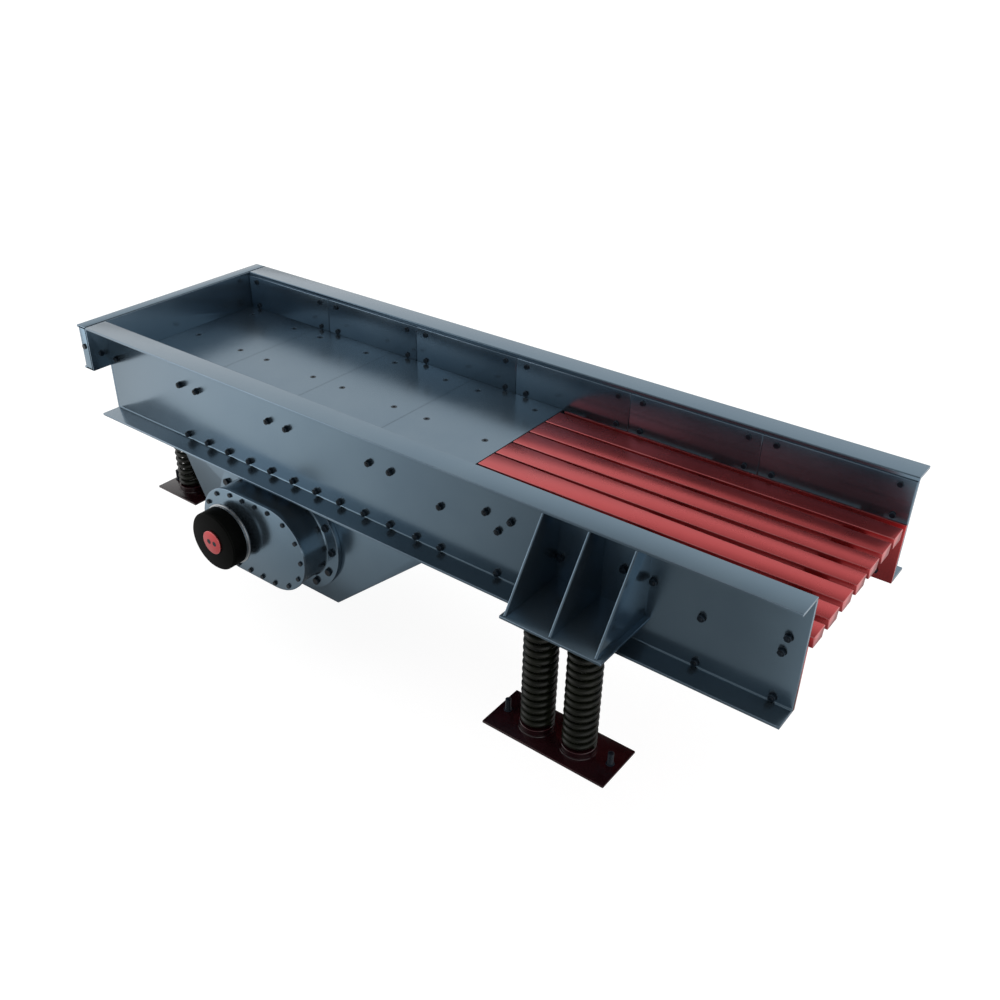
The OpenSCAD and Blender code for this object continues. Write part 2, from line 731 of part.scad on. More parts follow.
module cover_bolts() {
    head_y = neck_y + cover_t;
    color("darkslategray") for (s = [false, true], p = ring(cover_bolt_r, 2)) on_side(s) {
        rod_y([p[0], neck_y - 35, p[1]], small_r, cover_t + 36, 36);
        rod_y([p[0], head_y, p[1]], small_head_r, small_head_h, 6);
    }
}

side_plate(true);  // side_plate_near
side_plate(false);  // side_plate_far
feed_end_plate();
floor_plate();
floor_stiffeners();
rear_spring_beam();
floor_liners();
side_liners(true);  // side_liners_near
side_liners(false);  // side_liners_far
deck_side(true);  // deck_side_near
deck_side(false);  // deck_side_far
deck_cross_tubes();
deck_bar(1);  // deck_bar_1
deck_bar(2);  // deck_bar_2
deck_bar(3);  // deck_bar_3
deck_bar(4);  // deck_bar_4
deck_bar(5);  // deck_bar_5
deck_bar(6);  // deck_bar_6
deck_bar(7);  // deck_bar_7
spring_bracket(true);  // spring_bracket_near
spring_bracket(false);  // spring_bracket_far
gusset(true);  // gusset_near
gusset(false);  // gusset_far
gusset_tie_tubes();
exciter_casing();
bearing_carrier(true);  // bearing_carrier_near
bearing_carrier(false);  // bearing_carrier_far
end_cover(true);  // end_cover_near
end_cover(false);  // end_cover_far
bearings(shaft_x[0]);  // drive_bearings
bearings(shaft_x[1]);  // idler_bearings
drive_shaft();
idler_shaft();
gear(shaft_x[0]);  // drive_gear
gear(shaft_x[1]);  // idler_gear
weights(shaft_x[0]);  // drive_weights
weights(shaft_x[1]);  // idler_weights
belt_pulley();
pulley_end_plate();
pulley_screws();
liner_bolt_set(true);  // liner_bolts_near
liner_bolt_set(false);  // liner_bolts_far
floor_bolt_set();  // floor_bolts
wall_bolt_set(true);  // wall_bolts_near
wall_bolt_set(false);  // wall_bolts_far
feed_end_bolts();
carrier_bolts();
cover_bolts();
front_base(-1);  // front_base_near
front_base(1);  // front_base_far
rear_base(-1);  // rear_base_near
rear_base(1);  // rear_base_far
base_studs();
spring_at(front_xs[0], -front_y);  // front_spring_1
spring_at(front_xs[1], -front_y);  // front_spring_2
spring_at(front_xs[0], front_y);  // front_spring_3
spring_at(front_xs[1], front_y);  // front_spring_4
spring_at(rear_x, -rear_y);  // rear_spring_near
spring_at(rear_x, rear_y);  // rear_spring_far
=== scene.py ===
import json
import math
import bmesh
import bpy
import numpy as np
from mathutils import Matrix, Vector


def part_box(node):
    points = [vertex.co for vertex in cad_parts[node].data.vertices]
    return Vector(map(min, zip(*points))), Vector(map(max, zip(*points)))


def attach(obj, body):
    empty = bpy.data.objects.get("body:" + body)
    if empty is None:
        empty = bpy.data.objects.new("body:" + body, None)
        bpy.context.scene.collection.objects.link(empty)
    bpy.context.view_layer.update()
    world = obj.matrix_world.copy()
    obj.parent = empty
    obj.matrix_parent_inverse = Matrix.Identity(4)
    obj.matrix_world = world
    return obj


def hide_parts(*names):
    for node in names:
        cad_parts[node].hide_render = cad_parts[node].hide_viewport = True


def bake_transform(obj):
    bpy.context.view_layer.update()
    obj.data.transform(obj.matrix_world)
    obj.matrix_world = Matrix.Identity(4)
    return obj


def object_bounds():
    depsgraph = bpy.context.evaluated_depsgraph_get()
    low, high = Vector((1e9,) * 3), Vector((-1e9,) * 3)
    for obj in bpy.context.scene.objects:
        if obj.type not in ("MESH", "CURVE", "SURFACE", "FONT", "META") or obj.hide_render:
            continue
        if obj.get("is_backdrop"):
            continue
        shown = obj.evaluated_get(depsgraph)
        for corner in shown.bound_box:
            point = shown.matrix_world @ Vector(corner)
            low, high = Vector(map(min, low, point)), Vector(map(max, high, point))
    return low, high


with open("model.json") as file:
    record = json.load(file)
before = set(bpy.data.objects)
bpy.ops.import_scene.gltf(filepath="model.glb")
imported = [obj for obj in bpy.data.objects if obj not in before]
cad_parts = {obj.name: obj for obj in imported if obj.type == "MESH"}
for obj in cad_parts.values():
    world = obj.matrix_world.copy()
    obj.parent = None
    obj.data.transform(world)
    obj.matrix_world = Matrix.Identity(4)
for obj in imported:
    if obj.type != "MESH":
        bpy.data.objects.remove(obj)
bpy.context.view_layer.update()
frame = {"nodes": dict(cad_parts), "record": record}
print("frame loaded:", len(frame["nodes"]), "nodes")


# ---- materials ----

def linear(hexColour, alpha=1.0):
    # sRGB hex to the linear values that shaders take
    c = np.array([int(hexColour[k:k + 2], 16) for k in (1, 3, 5)]) / 255
    c = np.where(c <= 0.04045, c / 12.92, ((c + 0.055) / 1.055) ** 2.4)
    return (*c.tolist(), alpha)


def addNode(tree, kind, settings=None, inputs=None):
    # one shader node, its settings, and its inputs as values or as sockets to link from
    node = tree.nodes.new(kind)
    for key, value in (settings or {}).items():
        setattr(node, key, value)
    for key, value in (inputs or {}).items():
        if isinstance(value, bpy.types.NodeSocket):
            tree.links.new(value, node.inputs[key])
        else:
            node.inputs[key].default_value = value
    return node


def rampPoints(ramp, points):
    # sets a colour ramp's stops from [(place, linear colour), ...]
    while len(ramp.elements) < len(points):
        ramp.elements.new(0.5)
    for stop, (place, colour) in zip(ramp.elements, points):
        stop.position, stop.color = place, colour


def paintedSteel(name, look):
    # sprayed metallic enamel, fine aluminium flake in a tinted binder: it mirrors its surroundings softly in
    # its own colour. Its tone drifts slowly across a piece, with a faint orange peel, dust that dulls the
    # gloss in soft patches, and a paler coat on the edges that is partly a thinner, worn coat and partly a
    # painted highlight along them. Solid enamels have no flake, so no metal
    mat = bpy.data.materials.new(name)
    mat.use_nodes = True
    tree = mat.node_tree
    tree.nodes.clear()
    place = addNode(tree, "ShaderNodeTexCoord").outputs["Object"]
    # drift of the coat, about look["driftMm"] across
    drift = addNode(tree, "ShaderNodeTexNoise", None,
                    {"Vector": place, "Scale": 1000 / look["driftMm"], "Detail": 3.0, "Roughness": 0.55})
    coat = addNode(tree, "ShaderNodeValToRGB", None, {"Fac": drift.outputs["Fac"]})
    rampPoints(coat.color_ramp, [(0.32, linear(look["dark"])), (0.68, linear(look["light"]))])
    # specks of dust and fine overspray, 9 mm apart, coarser than real so that they still show
    speck = addNode(tree, "ShaderNodeTexNoise", None,
                    {"Vector": place, "Scale": 110.0, "Detail": 2.0, "Roughness": 0.6})
    dusty = addNode(tree, "ShaderNodeMapRange", None,
                    {"Value": speck.outputs["Fac"], "From Min": 0.52, "From Max": 0.78,
                     "To Min": 0.0, "To Max": look["dust"]})
    dustTone = addNode(tree, "ShaderNodeMix", {"data_type": "RGBA"},
                       {"Factor": dusty.outputs["Result"], "A": coat.outputs["Color"],
                        "B": linear(look["edge"])})
    # paler coat on the rounded edges: partly edge wear, partly a painted highlight along them
    edge = addNode(tree, "ShaderNodeAttribute", {"attribute_name": "edge"})
    paleEdgeAmount = addNode(tree, "ShaderNodeMapRange", None,
                   {"Value": drift.outputs["Fac"], "From Min": 0.35, "From Max": 0.6,
                    "To Min": 0.35, "To Max": look["edgeWearAndHighlight"]})
    paleEdgeMask = addNode(tree, "ShaderNodeMath", {"operation": "MULTIPLY"},
                   {0: edge.outputs["Fac"], 1: paleEdgeAmount.outputs["Result"]})
    tone = addNode(tree, "ShaderNodeMix", {"data_type": "RGBA"},
                   {"Factor": paleEdgeMask.outputs["Value"], "A": dustTone.outputs["Result"],
                    "B": linear(look["edge"])})
    gloss = addNode(tree, "ShaderNodeMapRange", None,
                    {"Value": drift.outputs["Fac"], "From Min": 0.3, "From Max": 0.7,
                     "To Min": look["rough"] - 0.03, "To Max": look["rough"] + 0.04})
    dulled = addNode(tree, "ShaderNodeMath", {"operation": "MULTIPLY_ADD"},
                     {0: dusty.outputs["Result"], 1: 0.25, 2: gloss.outputs["Result"]})
    peel = addNode(tree, "ShaderNodeTexNoise", None,
                   {"Vector": place, "Scale": 1000 / look["peelMm"], "Detail": 1.0})
    bump = addNode(tree, "ShaderNodeBump", None,
                   {"Height": peel.outputs["Fac"], "Strength": look["peel"], "Distance": 0.0004})
    skin = addNode(tree, "ShaderNodeBsdfPrincipled", None,
                   {"Base Color": tone.outputs["Result"], "Roughness": dulled.outputs["Value"],
                    "Normal": bump.outputs["Normal"]})
    skin.inputs["Metallic"].default_value = look["flake"]
    skin.inputs["Specular IOR Level"].default_value = look["specular"]
    addNode(tree, "ShaderNodeOutputMaterial", None, {"Surface": skin.outputs["BSDF"]})
    return mat


def barSteel(name, look):
    # turned, oiled or blackened steel: tool marks a few millimetres apart, smears of oil, a worn edge
    mat = bpy.data.materials.new(name)
    mat.use_nodes = True
    tree = mat.node_tree
    tree.nodes.clear()
    place = addNode(tree, "ShaderNodeTexCoord").outputs["Object"]
    smear = addNode(tree, "ShaderNodeTexNoise", None,
                    {"Vector": place, "Scale": 1000 / look["smearMm"], "Detail": 4.0, "Roughness": 0.6})
    coat = addNode(tree, "ShaderNodeValToRGB", None, {"Fac": smear.outputs["Fac"]})
    rampPoints(coat.color_ramp, [(0.35, linear(look["dark"])), (0.65, linear(look["light"]))])
    edge = addNode(tree, "ShaderNodeAttribute", {"attribute_name": "edge"})
    paleEdgeMask = addNode(tree, "ShaderNodeMath", {"operation": "MULTIPLY"},
                   {0: edge.outputs["Fac"], 1: smear.outputs["Fac"]})
    tone = addNode(tree, "ShaderNodeMix", {"data_type": "RGBA"},
                   {"Factor": paleEdgeMask.outputs["Value"], "A": coat.outputs["Color"], "B": linear(look["edge"])})
    gloss = addNode(tree, "ShaderNodeMapRange", None,
                    {"Value": smear.outputs["Fac"], "From Min": 0.3, "From Max": 0.7,
                     "To Min": look["rough"] - 0.06, "To Max": look["rough"] + 0.08})
    marks = addNode(tree, "ShaderNodeTexNoise", None,
                    {"Vector": place, "Scale": 1000 / look["markMm"], "Detail": 2.0})
    bump = addNode(tree, "ShaderNodeBump", None,
                   {"Height": marks.outputs["Fac"], "Strength": look["marks"], "Distance": 0.0003})
    skin = addNode(tree, "ShaderNodeBsdfPrincipled", None,
                   {"Base Color": tone.outputs["Result"], "Roughness": gloss.outputs["Result"],
                    "Normal": bump.outputs["Normal"]})
    skin.inputs["Metallic"].default_value = look["metallic"]
    skin.inputs["Specular IOR Level"].default_value = look["specular"]
    addNode(tree, "ShaderNodeOutputMaterial", None, {"Surface": skin.outputs["BSDF"]})
    return mat


# blue-grey metallic enamel on rolled plate; its paler edge colour is partly edge wear and partly a painted
# highlight
greyLook = {"dark": "#687c8b", "light": "#6f8391", "edge": "#8495a5", "driftMm": 380, "dust": 0.015,
            "edgeWearAndHighlight": 0.8, "rough": 0.21, "specular": 0.5, "flake": 0.91, "peelMm": 12, "peel": 0.01}
# the same enamel on the wear plates, scuffed a little duller by use
linerLook = dict(greyLook, dark="#677b8a", light="#718492", driftMm=300, rough=0.23, dust=0.02)
# red metallic enamel on the bars and on the plates under them; its paler edge colour is partly edge wear and
# partly a painted highlight
redLook = {"dark": "#b94a4c", "light": "#c34f51", "edge": "#d98486", "driftMm": 240, "dust": 0.02,
           "edgeWearAndHighlight": 0.7, "rough": 0.27, "specular": 0.5, "flake": 0.90, "peelMm": 12, "peel": 0.01}
# near-black gloss enamel on the base plates, with a maroon tint that is a painted reflection of the red deck
# above them: solid, with no flake, so it pales only where it mirrors something pale
blackRedReflectionLook = {"dark": "#150609", "light": "#20080d", "edge": "#4a282c", "driftMm": 160, "dust": 0.02,
              "edgeWearAndHighlight": 0.6, "rough": 0.18, "specular": 0.6, "flake": 0.0, "peelMm": 12, "peel": 0.02}
# black paint on the cast pulley, nearly matt
blackLook = {"dark": "#040504", "light": "#080908", "edge": "#1d1e1d", "driftMm": 90, "dust": 0.05,
             "edgeWearAndHighlight": 0.5, "rough": 0.45, "specular": 0.03, "flake": 0.0, "peelMm": 5, "peel": 0.2}
# spring steel, painted olive black and oiled
springLook = {"dark": "#0c0e0a", "light": "#15180f", "edge": "#3c3f35", "driftMm": 60, "dust": 0.10,
              "edgeWearAndHighlight": 0.5, "rough": 0.28, "specular": 0.25, "flake": 0.0, "peelMm": 5, "peel": 0.2}

# black-oxide bolts: a blue-black skin over steel, oily, a little paler at the corners; the blue tint is
# partly the oxide's own and partly a painted reflection of the blue-grey enamel round them
fastenerLook = {"dark": "#0a1118", "light": "#131f2a", "edge": "#303e4a", "smearMm": 18, "rough": 0.34,
                "specular": 0.25, "metallic": 0.1, "markMm": 3, "marks": 0.12}
# ground shaft steel with fine tool marks
brightLook = {"dark": "#9a9da0", "light": "#b9bcbe", "edge": "#d6d8da", "smearMm": 45, "rough": 0.30,
              "specular": 0.5, "metallic": 1.0, "markMm": 2, "marks": 0.10}
# plain grey casting for gears and weights
castLook = {"dark": "#3c3d3f", "light": "#55575a", "edge": "#808286", "smearMm": 40, "rough": 0.55,
            "specular": 0.4, "metallic": 0.4, "markMm": 4, "marks": 0.5}

finishes = {
    "grey_paint": paintedSteel("enamel blue grey", greyLook),
    "liner_paint": paintedSteel("enamel blue grey on wear plate", linerLook),
    "red_paint": paintedSteel("enamel signal red", redLook),
    # the maroon tint of the base plates' enamel is a painted reflection of the red deck above them
    "maroon_paint": paintedSteel("enamel black with painted maroon reflection", blackRedReflectionLook),
    "black_paint": paintedSteel("casting paint black", blackLook),
    "spring_steel": paintedSteel("spring paint olive black", springLook),
    "dark_fastener": barSteel("black oxide fastener", fastenerLook),
    "bright_steel": barSteel("ground steel", brightLook),
    "cast_weight": barSteel("grey casting", castLook),
}
print("materials made:", len(finishes))

slotOf = {p["node"]: p["material_slot"] for p in frame["record"]["subparts"]}
for nodeName, cadObject in frame["nodes"].items():
    cadObject.data.materials.clear()
    cadObject.data.materials.append(finishes[slotOf[nodeName]])


# ---- surfaces ----

def gridQuads(rows, cols, closed=True):
    # quads of a rows x cols grid of points, whose columns close on themselves or stay open
    i = np.arange(rows - 1)[:, None] * cols
    j = np.arange(cols if closed else cols - 1)[None, :]
    k = (j + 1) % cols
    return np.stack([i + j, i + k, i + cols + k, i + cols + j], -1).reshape(-1, 4)


def roundCorners(points, radii, steps=7):
    # each corner becomes an arc: its centre lies on the corner's bisector at radius / sin(half angle),
    # and the arc swings between the two tangent points by spherical weights
    p = np.array(points, float)
    r = np.broadcast_to(np.array(radii, float), len(p))
    a, b = np.roll(p, 1, 0) - p, np.roll(p, -1, 0) - p
    a, b = (v / np.linalg.norm(v, axis=1)[:, None] for v in (a, b))
    half = np.arccos(np.clip((a * b).sum(1), -1, 1)) / 2
    middle = a + b
    middle /= np.linalg.norm(middle, axis=1)[:, None]
    centre = p + middle * (r / np.sin(half))[:, None]
    first, last = p + a * (r / np.tan(half))[:, None], p + b * (r / np.tan(half))[:, None]
    turn = (np.pi - 2 * half)[:, None]
    f = np.linspace(0, 1, steps)[None, :]
    w0, w1 = np.sin((1 - f) * turn) / np.sin(turn), np.sin(f * turn) / np.sin(turn)
    fromFirst, fromLast = w0[..., None] * (first - centre)[:, None], w1[..., None] * (last - centre)[:, None]
    return (centre[:, None] + fromFirst + fromLast).reshape(-1, 2)


def inset(outline, d):
    # moves every side of a closed outline inwards by d along its mitres
    e = np.roll(outline, -1, 0) - outline
    e /= np.linalg.norm(e, axis=1)[:, None]
    n = np.stack([-e[:, 1], e[:, 0]], 1)
    before = np.roll(n, 1, 0)
    mitre = (n + before) / (1 + (n * before).sum(1))[:, None]
    return outline + d * mitre


def anticlockwise(outline):
    x, y = np.array(outline, float).T
    area = (x * np.roll(y, -1) - np.roll(x, -1) * y).sum()
    return np.array(outline, float) if area > 0 else np.array(outline, float)[::-1]


def stood(flat, level, axis):
    # a flat outline's points at a level along an axis: (Y, Z) for X, (X, Z) for Y and (X, Y) for Z
    order = {"x": (2, 0, 1), "y": (0, 2, 1), "z": (0, 1, 2)}[axis]
    level = np.broadcast_to(level, flat.shape[:-1])[..., None]
    return np.concatenate([flat, level], -1)[..., list(order)]


def slab(outline, axis, low, high, edge=0.0015):
    # an outline carried from low to high, with its two rims rounded by a quarter circle: at angle t the
    # outline is drawn in by edge * (1 - sin t) and stands edge * (1 - cos t) from the face
    t = np.radians([0, 45, 90])
    draw, rise = edge * (1 - np.sin(t)), edge * (1 - np.cos(t))
    rows = np.stack([inset(outline, d) for d in np.r_[draw, draw[::-1]]])
    level = np.r_[low + rise, high - rise[::-1]][:, None]
    n = len(outline)
    verts = stood(rows, level, axis).reshape(-1, 3)
    quads = gridQuads(6, n)
    rim = np.repeat([1, 1, 0, 1, 1], n)
    side = np.linalg.norm(np.roll(outline, -1, 0) - outline, axis=1) < 0.0007
    rim = np.maximum(rim, np.tile(side, 5))
    return verts, quads, [np.arange(n)[::-1], np.arange(5 * n, 6 * n)], rim


def plate(points, axis, low, high, edge=0.0015, corner=0.002, steps=5):
    return slab(roundCorners(anticlockwise(points), corner, steps), axis, low, high, edge)


def block(low, high, edge=0.0015, corner=0.0):
    (x0, y0, z0), (x1, y1, z1) = low, high
    return plate([(x0, y0), (x1, y0), (x1, y1), (x0, y1)], "z", z0, z1, edge, corner or 1.4 * edge)


def lathe(profile, centre, axis, sides=96, edgeRows=()):
    # (radius, level) pairs turned about an axis through centre
    u = np.linspace(0, 2 * np.pi, sides, endpoint=False)
    radius, level = np.array(profile, float).T
    flat = radius[:, None, None] * np.stack([np.cos(u), np.sin(u)], -1)[None]
    verts = (stood(flat, level[:, None], axis) + np.array(centre)).reshape(-1, 3)
    rim = np.repeat([1 if k in edgeRows else 0 for k in range(len(profile) - 1)], sides)
    n = len(profile)
    return verts, gridQuads(n, sides), [np.arange(sides)[::-1], np.arange((n - 1) * sides, n * sides)], rim


def hexagon(profile, across, sides=24):
    # a hexagon turned by a chamfering tool: at angle u the radius is the smaller of the tool's radius
    # and the flat's distance, (across / 2) / cos(angle from the middle of that flat)
    u = np.linspace(0, 2 * np.pi, sides, endpoint=False)
    flat = across / 2 / np.cos((u + np.pi / 6) % (np.pi / 3) - np.pi / 6)
    radius, level = np.array(profile, float).T
    r = np.minimum(radius[:, None], flat[None])
    verts = np.stack([r * np.cos(u), r * np.sin(u), np.broadcast_to(level[:, None], r.shape)], -1)
    n = len(profile)
    caps = [np.arange(sides)[::-1], np.arange((n - 1) * sides, n * sides)]
    rim = np.repeat(np.abs(np.diff(radius)) > 1e-9, sides).astype(int)
    return verts.reshape(-1, 3), gridQuads(n, sides), caps, rim


def merged(shells):
    # several shells as one, their faces renumbered
    verts, quads, caps, rims, start = [], [], [], [], 0
    for v, q, c, rim in shells:
        verts.append(v)
        quads.append(q + start)
        caps += [cap + start for cap in c]
        rims.append(rim)
        start += len(v)
    return np.concatenate(verts), np.concatenate(quads), caps, np.concatenate(rims)


def copied(shell, places, normal, turns=None):
    # a shell drawn along +Z, turned about it by turns, laid along a normal and set at each place, all at once
    v, q, caps, rim = shell
    places = np.array(places, float)
    turns = np.zeros(len(places)) if turns is None else turns
    c, s = np.cos(turns)[:, None], np.sin(turns)[:, None]
    x, y = c * v[:, 0] - s * v[:, 1], s * v[:, 0] + c * v[:, 1]
    z = np.broadcast_to(v[:, 2], x.shape)
    n = np.array(normal, float)
    side = np.cross([0, 0, 1.0], n) if abs(n[2]) < 0.9 else np.array([1.0, 0, 0]) * n[2]
    other = np.cross(n, side)
    out = x[..., None] * side + y[..., None] * other + z[..., None] * n + places[:, None]
    shift = (np.arange(len(places)) * len(v))[:, None, None]
    allQuads = (q[None] + shift).reshape(-1, 4)
    allCaps = [cap + k for k in shift[:, 0, 0] for cap in caps]
    return out.reshape(-1, 3), allQuads, allCaps, np.tile(rim, len(places))


def makePiece(name, shells, body, replaced, slotName, finish=None, smoothUnder=0.013, crease=34):
    # one mesh of several shells; narrow faces are shaded round and wide ones flat
    v, q, caps, rim = merged(shells)
    mesh = bpy.data.meshes.new(name)
    mesh.from_pydata(v.tolist(), [], q.tolist() + [c.tolist() for c in caps])
    corners = v[q]
    span = np.linalg.norm(corners - np.roll(corners, -1, 1), axis=2)
    width = np.minimum(span[:, 0] + span[:, 2], span[:, 1] + span[:, 3]) / 2
    narrow = np.r_[width < smoothUnder, np.zeros(len(caps), bool)]
    mesh.attributes.new("edge", "FLOAT", "FACE").data.foreach_set(
        "value", np.r_[rim, np.zeros(len(caps))].astype(np.float32))
    work = bmesh.new()
    work.from_mesh(mesh)
    bmesh.ops.recalc_face_normals(work, faces=work.faces)
    work.to_mesh(mesh)
    work.free()
    mesh.polygons.foreach_set("use_smooth", narrow)
    mesh.set_sharp_from_angle(angle=math.radians(crease))
    mesh.update()
    piece = bpy.data.objects.new(name, mesh)
    bpy.context.scene.collection.objects.link(piece)
    mesh.materials.append(finish or finishes[slotName])
    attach(piece, body)
    if replaced:
        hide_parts(*replaced)
    return piece


def mirrored(shell, near):
    # the near side is the mirror image of the far side
    v, q, caps, rim = shell
    return (v * np.array([1, -1, 1]), q, caps, rim) if near else shell


def weld(path, radius, normal, ripple=0.006):
    # a bead: a circle of the bead's radius carried along a path, swelling by 10% at each ripple
    path = np.array(path, float)
    cuts = np.linalg.norm(np.diff(path, axis=0), axis=1)
    total = cuts.sum()
    s = np.linspace(0, total, max(int(total / ripple) * 2 + 1, 5))
    at = np.stack([np.interp(s, np.r_[0, cuts.cumsum()], path[:, k]) for k in range(3)], 1)
    along = np.gradient(at, axis=0)
    along /= np.linalg.norm(along, axis=1)[:, None]
    side = np.cross(along, normal)
    side /= np.linalg.norm(side, axis=1)[:, None]
    up = np.cross(side, along)
    u = np.linspace(0, 2 * np.pi, 8, endpoint=False)
    r = radius * (1 + 0.10 * np.sin(s * 2 * np.pi / ripple))[:, None, None]
    cosine, sine = np.cos(u)[None, :, None], np.sin(u)[None, :, None]
    ring = at[:, None] + r * (cosine * side[:, None] + sine * up[:, None])
    n = len(s)
    return ring.reshape(-1, 3), gridQuads(n, 8), [np.arange(8)[::-1], np.arange((n - 1) * 8, n * 8)], \
        np.zeros((n - 1) * 8)


# ---- trough ----

trough = {"length": 3.8, "inner": 0.488, "outer": 0.500, "top": 0.912, "bottom": 0.420, "plate": 0.012,
          "topEdge": 0.610, "bottomEdge": 0.605, "foldOutside": 0.005, "foldInside": 0.008}
t = trough
channel = roundCorners(
    [(t["inner"], t["bottom"]), (t["bottomEdge"], t["bottom"]), (t["bottomEdge"], t["bottom"] + t["plate"]),
     (t["outer"], t["bottom"] + t["plate"]), (t["outer"], t["top"] - t["plate"]),
     (t["topEdge"], t["top"] - t["plate"]), (t["topEdge"], t["top"]), (t["inner"], t["top"])],
    [t["foldOutside"], 0.002, 0.002, t["foldInside"], t["foldInside"], 0.002, 0.002, t["foldOutside"]], 9)
sides = (("near", True), ("far", False))
for side, near in sides:
    makePiece(f"side_{side}", [mirrored(slab(channel, "x", 0.0, t["length"], 0.0014), near)], "trough",
              [f"side_plate_{side}"], "grey_paint")

# feed end: web with wings, three flanges standing back from it and two cheeks
feedEnd = {"back": -0.076, "cheek": -0.062, "wingLow": 0.674, "lowFlange": 0.455}
f = feedEnd
wide, slim, high, low, wing = t["topEdge"], t["outer"], t["top"], t["bottom"], f["wingLow"]
web = [(-wide, high), (-wide, wing), (-slim, wing), (-slim, low), (slim, low), (slim, wing), (wide, wing),
       (wide, high)]
shells = [plate(web, "x", -t["plate"], 0.0, 0.0015, 0.002)]
for z in (high - t["plate"], wing):
    shells.append(block((f["back"], -wide, z), (-0.0005, wide, z + t["plate"]), 0.002))
shells.append(block((f["back"], -f["lowFlange"], low), (-0.0005, f["lowFlange"], low + t["plate"]), 0.002))
for s in (-1, 1):
    y0, y1 = sorted((s * (wide - t["plate"]), s * wide))
    shells.append(block((f["cheek"], y0, wing + 0.002), (-0.0015, y1, high - 0.0015), 0.0018))
makePiece("feed_end", shells, "trough", ["feed_end_plate"], "grey_paint")

# wear plates on the walls, six a side, with 2 mm seams and eased edges
panels = {"count": 6, "seam": 0.002, "low": 0.6995, "high": 0.894, "face": 0.480, "edge": 0.0026}
p = panels
pitch = t["length"] / p["count"]
for side, near in sides:
    shells = [mirrored(block((k * pitch + p["seam"] / 2, p["face"], p["low"]),
                             ((k + 1) * pitch - p["seam"] / 2, t["inner"], p["high"]), p["edge"]), near)
              for k in range(p["count"])]
    makePiece(f"wall_wear_plates_{side}", shells, "trough", [f"side_liners_{side}"], "liner_paint")
print("trough walls made")

# ---- bar deck ----

deck = {"start": 2.190, "bars": 7, "pitch": 0.1285, "barStart": 2.186, "end": 3.8, "top": 0.7075,
        "depth": 0.050, "gapStart": 0.010, "gapEnd": 0.034, "taper": 0.014, "edge": 0.0022}
d = deck
for side, near in sides:
    shell = block((d["start"], 0.476, 0.420), (d["end"], 0.488, 0.6995), 0.0018)
    makePiece(f"deck_plate_{side}", [mirrored(shell, near)], "trough", [f"deck_side_{side}"], "red_paint")


def taperedBar(number):
    # a trapezoid section with rounded corners whose half width falls in a straight line along the bar
    a, b = (d["pitch"] - d["gapStart"]) / 2, (d["pitch"] - d["gapEnd"]) / 2
    y = (number - (d["bars"] + 1) / 2) * d["pitch"]
    e = d["edge"]
    turn = np.radians([0, 45, 90])
    draw, rise = e * (1 - np.sin(turn)), e * (1 - np.cos(turn))
    x = np.r_[d["barStart"] + rise, d["end"] - rise[::-1]]
    half = a + (b - a) * (x - d["barStart"]) / (d["end"] - d["barStart"])
    rows = []
    for h, dr in zip(half, np.r_[draw, draw[::-1]]):
        low = h - d["taper"] / 2
        section = [(y - low, d["top"] - d["depth"]), (y + low, d["top"] - d["depth"]),
                   (y + h, d["top"]), (y - h, d["top"])]
        rows.append(inset(roundCorners(section, 1.4 * e, 5), dr))
    rows = np.stack(rows)
    n = rows.shape[1]
    verts = stood(rows, x[:, None], "x").reshape(-1, 3)
    narrow = np.linalg.norm(np.roll(rows[2], -1, 0) - rows[2], axis=1) < 0.0015
    rim = np.maximum(np.repeat([1, 1, 0, 1, 1], n), np.tile(narrow, 5))
    return verts, gridQuads(6, n), [np.arange(n)[::-1], np.arange(5 * n, 6 * n)], rim


for k in range(1, d["bars"] + 1):
    makePiece(f"bar_{k}", [taperedBar(k)], "trough", [f"deck_bar_{k}"], "red_paint")
print("bar deck made")

# ---- spring brackets ----

bracket = {"ribs": [2.810, 3.010, 3.203], "ribThick": 0.010, "seatX": (2.791, 3.230), "seatY": 0.840,
           "seatZ": 0.550, "springX": [2.910, 3.105], "springY": 0.728, "spigot": 0.0395}
b = bracket
rib = [(t["outer"], 0.884), (0.516, 0.900), (t["topEdge"], 0.900), (0.833, 0.562), (t["outer"], 0.562)]
for side, near in sides:
    shells = [plate(rib, "x", x - b["ribThick"] / 2, x + b["ribThick"] / 2, 0.0018, 0.002) for x in b["ribs"]]
    shells.append(block((b["seatX"][0], t["outer"], b["seatZ"]),
                        (b["seatX"][1], b["seatY"], b["seatZ"] + t["plate"]), 0.002))
    for x in b["springX"]:
        shells.append(lathe([(b["spigot"] - 0.003, 0.526), (b["spigot"], 0.529), (b["spigot"], 0.551)],
                            (x, b["springY"], 0), "z", 48, (0,)))
    makePiece(f"bracket_{side}", [mirrored(sh, near) for sh in shells], "trough",
              [f"spring_bracket_{side}"], "grey_paint")
print("brackets made")

# ---- exciter ----

exciter = {"shafts": (1.073, 1.334), "height": 0.158, "flangeTop": 0.418, "flangeBolts": 0.248,
           "coverBolts": 0.198}
e = exciter
gussetOutline = [(0.459, 0.420), (0.459, 0.495), (2.150, 0.495), (2.150, 0.420), (2.237, 0.420),
                 (1.569, -0.155), (0.752, -0.155)]
for side, near in sides:
    shell = plate(gussetOutline, "y", 0.476, 0.488, 0.0018, 0.003)
    makePiece(f"gusset_plate_{side}", [mirrored(shell, near)], "trough", [f"gusset_{side}"], "grey_paint")


